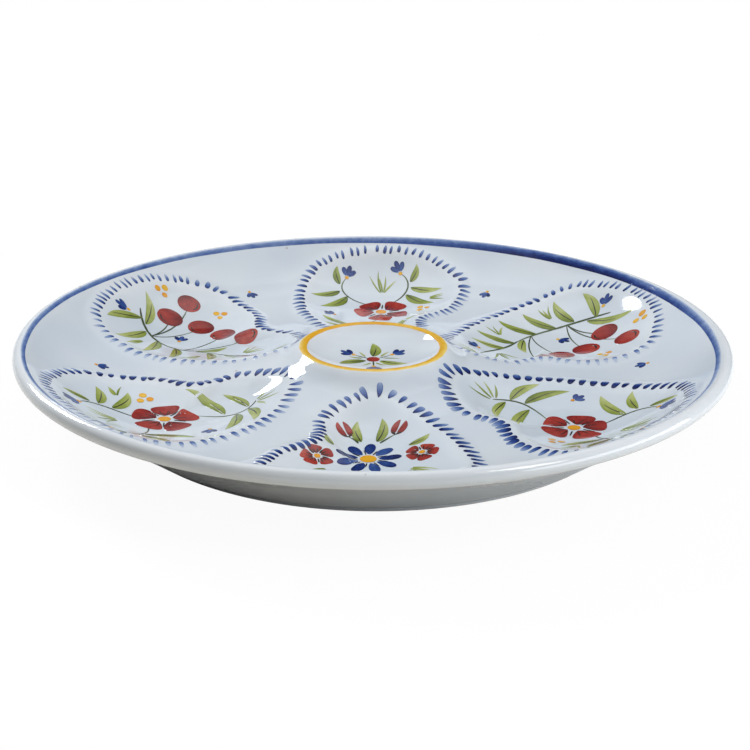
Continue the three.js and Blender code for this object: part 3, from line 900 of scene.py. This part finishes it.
class Sprig:
    """Draws in one well's own frame: X points out from the plate's middle, Y to the well's full side."""

    def __init__(self, angle):
        self.angle = angle

    def path(self, points):
        """The same path in the plate's frame."""
        return [turned(point, self.angle) for point in points]

    def stem(self, points, width=0.75, load=0.6):
        """A thin stalk."""
        width = width * hand.uniform(0.85, 1.15)
        stem_paint.stroke(self.path(points), width, (0.25, 0.45), load, steps=14)

    def line(self, points, width=0.42, load=0.7):
        """A fine dark line."""
        line_paint.stroke(self.path(points), width, (0.35, 0.6), load, steps=9)

    def leaf(self, foot, tip, width, bow):
        """A bowed leaf with its vein."""
        foot, tip = np.array(foot, float), np.array(tip, float)
        across = np.array([tip[1] - foot[1], foot[0] - tip[0]])
        middle = (foot + tip) / 2 + across * bow
        path = self.path([foot, middle, tip])
        leaf_paint.stroke(path, width, (0.7, 0.95), hand.uniform(0.4, 0.7), steps=14, across_steps=6)
        vein_end = foot + (tip - foot) * hand.uniform(0.6, 0.8) + across * bow * 0.55
        self.line([foot, middle - across * bow * 0.35, vein_end], load=hand.uniform(0.3, 0.6))

    def leaves(self, *rows):
        """Leaves, each with the X and Y of its foot and of its tip, its width and its bow."""
        for foot_x, foot_y, tip_x, tip_y, width, bow in rows:
            self.leaf((foot_x, foot_y), (tip_x, tip_y), width, bow)

    def tuft(self, foot, heading, length, count, spread):
        """A fan of thin blades."""
        for number in range(count):
            lean = math.radians(heading + spread * (number / (count - 1) - 0.5))
            reach = length * hand.uniform(0.75, 1.1)
            start = foot + toward(lean, 1.6)
            bend = start + toward(lean, reach * 0.55)
            tip = start + toward(lean + hand.uniform(-0.3, 0.3), reach)
            width = hand.uniform(0.7, 1.1)
            load = hand.uniform(0.35, 0.8)
            blade_paint.stroke(self.path([start, bend, tip]), width, (0.45, 0.9), load, steps=9)

    def rose(self, centre, radius, turn):
        """An open flower round an ochre eye, with fine lines on its petals and between them."""
        for number in range(PETALS):
            angle = turn + math.tau * number / PETALS + hand.uniform(-0.06, 0.06)
            reach = radius * hand.uniform(0.94, 1.06)
            side = toward(angle + math.pi / 2, radius * hand.uniform(-0.1, 0.1))
            middle = centre + toward(angle, reach * 0.65) + side
            path = self.path([centre + toward(angle, radius * 0.26), middle, centre + toward(angle, reach)])
            load = hand.uniform(0.5, 0.8)
            red_paint.stroke(path, radius * 0.9, (0.85, 0.36), load, steps=14, across_steps=10)
            for lean in (-0.16, 0.2):
                start = centre + toward(angle + lean, radius * 0.34)
                end = centre + toward(angle + lean * 1.3, radius * hand.uniform(0.6, 0.75))
                self.line([start, end], load=0.8)
        gold_paint.dot(turned(centre, self.angle), radius * 0.2, hand.uniform(0.5, 0.8))
        for number in range(PETALS):
            angle = turn + math.tau * (number + 0.5) / PETALS
            self.line([centre + toward(angle, radius * share) for share in (0.3, 0.7)], 0.55, 0.8)

    def bud(self, foot, heading, length, width):
        """A closed bud of two petals, held by two fine sepals."""
        lean = math.radians(heading)
        for side in (-1, 1):
            start = foot + toward(lean + side * 1.2, width * 0.16)
            middle = start + toward(lean + side * 0.42, length * 0.5)
            path = self.path([start, middle, foot + toward(lean + side * 0.14, length)])
            load = hand.uniform(0.55, 0.8)
            red_paint.stroke(path, width * 0.5, (0.55, 0.7), load, steps=12, across_steps=6)
            self.line([foot, foot + toward(lean + side * 0.9, length * 0.34)], 0.6, 0.75)

    def cherry(self, fork, centre, radius):
        """A cherry on its stalk, with a fine line along one side."""
        fork, centre = np.array(fork, float), np.array(centre, float)
        lean = (fork + centre) / 2 + np.array([centre[1] - fork[1], fork[0] - centre[0]]) * 0.14
        self.stem([fork, lean, centre + (lean - centre) * 0.1], 0.6, 0.7)
        turn = hand.uniform(0, math.tau)
        path = self.path([centre - toward(turn, radius), centre + toward(turn, radius)])
        red_paint.stroke(path, 2 * radius, (0.5, 0.5), hand.uniform(0.55, 0.8), steps=14, across_steps=10)
        arc = ((turn, 0.72), (turn + 0.8, 0.98), (turn + 1.6, 0.72))
        self.line([centre + toward(angle, radius * share) for angle, share in arc], 0.6, 0.7)

    def bell(self, foot, heading, length=6.0):
        """A bellflower of three touches, with an ochre dot at its foot."""
        for lean in (-0.55, 0.0, 0.55):
            angle = math.radians(heading) + lean
            reach = length if lean == 0 else length * 0.86
            path = self.path([foot + toward(angle, step) for step in (length * 0.16, reach * 0.55, reach)])
            load = hand.uniform(0.5, 0.8)
            blue_paint.stroke(path, length * 0.36, (0.8, 0.45), load, steps=8, across_steps=4)
        gold_paint.dot(turned(foot, self.angle), length * 0.14, hand.uniform(0.4, 0.8))

    def berries(self, centre, radius, spread, turn=0.0):
        """Three ochre berries."""
        for number in range(3):
            spot = centre + toward(turn + math.tau * number / 3, spread / math.sqrt(3))
            size = radius * hand.uniform(0.85, 1.1)
            gold_paint.dot(turned(spot, self.angle), size, hand.uniform(0.35, 0.75))

    def rose_vine(self):
        """A rose on a vine, with a bellflower at the end of each shoot."""
        self.stem([(47, 0), (56, 9), (62, 3), (69, -3)], 0.9)
        self.stem([(88, -10), (94, -18), (101, -19), (105, -14)])
        self.stem([(87, 1), (92, 12), (98, 13), (103, 9)])
        self.rose((79, -5), 11.0, 0.5)
        self.leaves(
            (52, 4, 57, 18, 3.8, -0.2), (57, 5, 68, 19, 4.2, -0.2), (51, 2, 54, -12, 3.4, 0.2),
            (60, 2, 65, -19, 4.2, 0.22), (93, -16, 83, -27, 4.2, 0.2), (97, -18, 93, -31, 3.6, 0.2),
            (100, -18, 108, -21, 3.2, 0.2), (92, 9, 79, 20, 4.2, -0.2), (95, 12, 89, 24, 3.4, -0.2),
            (99, 12, 108, 13, 3.2, -0.2),
        )
        self.tuft((48, 0), 150, 8.0, 4, 90)
        self.tuft((88, -24), -95, 7.0, 3, 34)
        self.tuft((94, -6), 0, 11.0, 5, 60)
        self.bell((105, -14), 20)
        self.bell((103, 9), -15)
        self.bell((71, 14), 60, 5.0)
        self.berries((79, -22), 1.3, 3.4, 0.4)

    def cherry_branch(self):
        """A leafy branch with five cherries."""
        self.stem([(107, -4), (96, 10), (82, 12), (68, 6)], 1.0)
        self.stem([(70, 7), (62, 3), (54, 4), (47, 0)], 0.9)
        self.leaves(
            (103, 0, 108, 15, 3.8, 0.2), (97, 6, 99, 22, 4.2, -0.18), (90, 8, 85, 24, 4.2, -0.2),
            (81, 9, 73, 24, 4.0, -0.2), (68, 6, 59, 19, 3.8, -0.2), (62, 4, 52, 13, 3.2, -0.2),
            (100, 2, 111, -13, 3.6, 0.2), (73, 7, 66, -4, 3.4, 0.2),
        )
        self.cherry((94, 7), (98, -11), 5.0)
        self.cherry((94, 7), (86, -15), 5.2)
        self.cherry((78, 9), (75, -14), 5.0)
        self.cherry((78, 9), (64, -14), 4.6)
        self.cherry((94, 7), (98, -24), 4.6)
        self.tuft((92, 13), 88, 8.0, 3, 24)
        self.tuft((66, 12), 80, 8.0, 3, 30)
        self.tuft((56, 1), -100, 8.0, 4, 50)
        self.tuft((47, 0), 185, 8.0, 4, 80)
        self.bell((85, 1), -70, 5.2)
        self.bell((50, 5), 120, 4.6)
        self.bell((108, 2), 30, 5.0)
        self.berries((85, -27), 1.2, 3.2)
        self.berries((108, -20), 1.2, 3.2, 0.6)

    def nosegay(self):
        """A posy: one blue flower between two small roses and two buds."""
        centre = (68, -3)
        for number in range(POSY_PETALS):
            angle = math.tau * number / POSY_PETALS + 0.2
            bend = centre + toward(angle, 7.0) + toward(angle + math.pi / 2, 0.8)
            path = self.path([centre + toward(angle, 3.4), bend, centre + toward(angle, 10.6)])
            blue_paint.stroke(path, 3.6, (0.7, 0.5), hand.uniform(0.55, 0.85), steps=10, across_steps=4)
            self.line([centre + toward(angle + 0.35, reach) for reach in (3.2, 6.4)], 0.45, 0.7)
        gold_paint.dot(turned(centre, self.angle), 2.7, 0.6)
        self.rose((67, 14), 5.4, 0.2)
        self.rose((70, -19), 5.2, 0.8)
        self.bud((53, 6), 155, 7.0, 4.6)
        self.bud((53, -9), 205, 7.0, 4.6)
        self.stem([(57, 1), (54, 3), (53, 6)])
        self.stem([(57, -6), (54, -7), (53, -9)])
        self.leaves(
            (56, 0, 44, 2, 3.6, 0.2), (56, -5, 45, -6, 3.4, -0.2), (80, 3, 86, 18, 4.2, -0.2),
            (83, 0, 97, 11, 4.0, 0.15), (80, -9, 85, -25, 4.2, 0.2), (83, -6, 97, -19, 4.0, -0.15),
            (61, 10, 56, 17, 2.8, 0.2), (62, -14, 56, -16, 2.6, -0.2),
        )
        self.stem([(80, -3), (90, -2), (102, -4)], 0.9)
        self.tuft((84, -3), 0, 12.0, 4, 40)
        self.tuft((76, 9), 50, 9.0, 3, 36)
        self.tuft((76, -15), -50, 9.0, 3, 36)
        self.bell((103, -4), 0, 5.4)
        self.berries((92, 20), 1.3, 3.4)
        self.berries((92, -27), 1.3, 3.4, 0.5)


for number in range(WELL_COUNT):
    sprig = Sprig(well_angle(number))
    if number == FRONT_WELL:
        sprig.nosegay()
    elif number % 2:
        sprig.cherry_branch()
    else:
        sprig.rose_vine()

cup_sprig = Sprig(0.0)
for number in range(3):
    angle = math.radians(90 + 120 * number)
    cup_sprig.leaf(toward(angle, 3.0), toward(angle, 14.0), 4.2, 0.2)
    between = angle + math.radians(60)
    cup_sprig.stem([toward(between, 2.5), toward(between, 5.0), toward(between, 7.5)], 0.6)
    cup_sprig.bell(toward(between, 8.0), math.degrees(between), 5.4)
    cup_sprig.tuft(toward(between, 2.5), math.degrees(between), 6.0, 2, 70)
red_paint.dot((0, 0), 2.4, 0.65)

# Between the wells, near the rim, a small three-touch mark fills each ridge.
RIDGE_MARK_RADIUS = 99.0
for number in range(WELL_COUNT):
    ridge_mark = Sprig(well_angle(number + 0.5))
    ridge_mark.bell((RIDGE_MARK_RADIUS, 0), 180, 4.6)

STEM_GREEN = [
    (0.0, 120, 132, 100),
    (0.5, 72, 84, 56),
    (1.0, 30, 36, 30),
]
LEAF_GREEN = [
    (0.0, 186, 192, 146),
    (0.3, 152, 162, 92),
    (0.6, 124, 138, 62),
    (1.0, 76, 92, 40),
]
BRICK_RED = [
    (0.0, 206, 142, 122),
    (0.3, 172, 76, 62),
    (0.6, 148, 50, 44),
    (1.0, 100, 26, 28),
]
FINE_LINE = [
    (0.0, 110, 112, 92),
    (0.5, 52, 52, 46),
    (1.0, 20, 20, 24),
]
stem_green = pigment("stem_green", STEM_GREEN, streaks=0.3, fade=0.35, pool=0.1)
blade_green = pigment("blade_green", LEAF_GREEN, streaks=0.3, fade=0.3, pool=0.1)
leaf_green = pigment("leaf_green", LEAF_GREEN, streaks=0.5, fade=0.3, pool=0.2, edge=0.1, side=0.24)
brick_red = pigment("brick_red", BRICK_RED, streaks=0.5, fade=0.12, pool=0.3, edge=0.12)
stroke_cobalt = pigment("stroke_cobalt", COBALT, streaks=0.4, fade=-0.15, edge=0.1)
stroke_ochre = pigment("stroke_ochre", OCHRE, streaks=0.4, pool=0.1, edge=0.15)
fine_line = pigment("fine_line", FINE_LINE, streaks=0.2, fade=0.3, pool=0.1)

# Each colour crosses those painted before it, so its film stands about a hundredth of a millimetre higher.
stem_paint.lay("painted_stems", 0.03, stem_green)
blade_paint.lay("painted_blades", 0.038, blade_green)
leaf_paint.lay("painted_leaves", 0.046, leaf_green)
red_paint.lay("painted_red", 0.06, brick_red)
blue_paint.lay("painted_blue", 0.075, stroke_cobalt)
gold_paint.lay("painted_ochre", 0.09, stroke_ochre)
line_paint.lay("painted_lines", 0.1, fine_line)


# Table
# A plain pale surface that runs out of sight, white where the camera looks past the plate,
# with the plate's own shadow left on it.
FLOOR_SIZE = 40.0
SHADOW_RADIUS = 0.1
WHITE_RADIUS = 0.26
SHADOW_SHARE = 0.05
TABLE_PALE = colour(244, 244, 244)
TABLE_BOUNCE = colour(231, 224, 210)

bpy.ops.object.select_all(action="DESELECT")
bpy.ops.mesh.primitive_plane_add(size=FLOOR_SIZE)
table = bpy.context.object
table.name = "table"
table_finish, tree, shader = new_material("pale_table")
shader.inputs["Base Color"].default_value = TABLE_PALE
shader.inputs["Roughness"].default_value = 0.9
shader.inputs["Specular IOR Level"].default_value = 0.1
rays = add_node(tree, "ShaderNodeLightPath").outputs
mirrored = calculate(tree, "MAXIMUM", rays["Is Glossy Ray"], rays["Is Transmission Ray"])
seen = calculate(tree, "MAXIMUM", rays["Is Camera Ray"], mirrored)
place = object_place(tree)
distance = add_node(tree, "ShaderNodeVectorMath", {0: place}, operation="LENGTH").outputs["Value"]
far = map_range(tree, distance, SHADOW_RADIUS, WHITE_RADIUS, interpolation="SMOOTHSTEP")
seen_white = calculate(tree, "MAXIMUM", far, 1 - SHADOW_SHARE)
seen_white = calculate(tree, "MULTIPLY", rays["Is Camera Ray"], seen_white)
white_share = calculate(tree, "MAXIMUM", seen_white, calculate(tree, "MULTIPLY", mirrored, far))
white = add_node(tree, "ShaderNodeEmission", {"Color": (1, 1, 1, 1), "Strength": 1.0}).outputs[0]
bounce = add_node(tree, "ShaderNodeBsdfDiffuse", {"Color": TABLE_BOUNCE}).outputs[0]
surface = add_node(tree, "ShaderNodeMixShader", {0: seen, 1: bounce, 2: shader.outputs[0]}).outputs[0]
shown = add_node(tree, "ShaderNodeMixShader", {0: white_share, 1: surface, 2: white}).outputs[0]
tree.links.new(shown, tree.nodes["Material Output"].inputs["Surface"])
table.data.materials.append(table_finish)


# Room wall
# A low grey screen round the table, out of the picture. The glaze mirrors it instead of bright walls,
# so that the painted colours keep their depth. One stretch behind on the left is pale,
# and brightens the right-hand side of the face.
WALL_RADIUS = 1.6
WALL_HEIGHT = 1.3
WALL_SIDES = 64
WALL_GREY = colour(80, 81, 83)
WALL_PALE = colour(232, 237, 246)
PALE_LEFT = (-0.05 * WALL_RADIUS, -0.3 * WALL_RADIUS)
PALE_BEHIND = (0.2 * WALL_RADIUS, 0.5 * WALL_RADIUS)

bpy.ops.object.select_all(action="DESELECT")
bpy.ops.mesh.primitive_cylinder_add(
    vertices=WALL_SIDES,
    radius=WALL_RADIUS,
    depth=WALL_HEIGHT,
    end_fill_type="NOTHING",
    location=(0, 0, WALL_HEIGHT / 2),
)
wall = bpy.context.object
wall.name = "room_wall"
wall.visible_camera = False
wall_finish, tree, shader = new_material("grey_screen")
wall_x, wall_y, _ = add_node(tree, "ShaderNodeSeparateXYZ", {0: object_place(tree)}).outputs
leftward = map_range(tree, wall_x, *PALE_LEFT, interpolation="SMOOTHSTEP")
behind = map_range(tree, wall_y, *PALE_BEHIND, interpolation="SMOOTHSTEP")
wall_shade = blend_colours(tree, calculate(tree, "MULTIPLY", leftward, behind), WALL_GREY, WALL_PALE)
tree.links.new(wall_shade, shader.inputs["Base Color"])
shader.inputs["Roughness"].default_value = 1.0
wall.data.materials.append(wall_finish)


# Light
# A wide softbox overhead, one behind to the left and a narrower one in front to the right,
# which make the glaze's white glints, a low strip on the right that fills the shadow under the lip,
# and a pale ceiling.
ROOM_LIGHT = 0.54


def softbox(name, azimuth, elevation, distance, size, power, tint):
    """A rectangular lamp aimed at the plate. Azimuth 0 lies straight behind it, and 90 to its right."""
    bpy.ops.object.select_all(action="DESELECT")
    bpy.ops.object.light_add(type="AREA")
    lamp = bpy.context.object
    lamp.name = name
    lamp.data.shape = "RECTANGLE"
    lamp.data.size, lamp.data.size_y = size
    lamp.data.energy = power
    lamp.data.color = tint
    lamp.visible_camera = False
    turn = Matrix.Rotation(math.radians(-azimuth), 4, "Z")
    tilt = Matrix.Rotation(math.radians(elevation - 90), 4, "X")
    lamp.matrix_world = turn @ tilt @ Matrix.Translation((0, 0, distance))


softbox(
    "overhead_softbox", azimuth=0, elevation=80, distance=1.5,
    size=(1.4, 1.4), power=4.9, tint=(1.0, 0.998, 0.99),
)
softbox(
    "left_softbox", azimuth=-43, elevation=33, distance=1.2,
    size=(0.36, 0.32), power=10.6, tint=(0.955, 0.98, 1.0),
)
softbox(
    "right_softbox", azimuth=125, elevation=49, distance=1.2,
    size=(0.3, 0.5), power=4.2, tint=(1.0, 0.975, 0.925),
)
softbox(
    "low_fill", azimuth=110, elevation=12, distance=0.8,
    size=(0.9, 0.3), power=4.2, tint=(0.96, 0.98, 1.0),
)

world = bpy.data.worlds.new("pale_room")
bpy.context.scene.world = world
world.use_nodes = True
background = world.node_tree.nodes["Background"]
background.inputs["Color"].default_value = (1, 1, 1, 1)
background.inputs["Strength"].default_value = ROOM_LIGHT
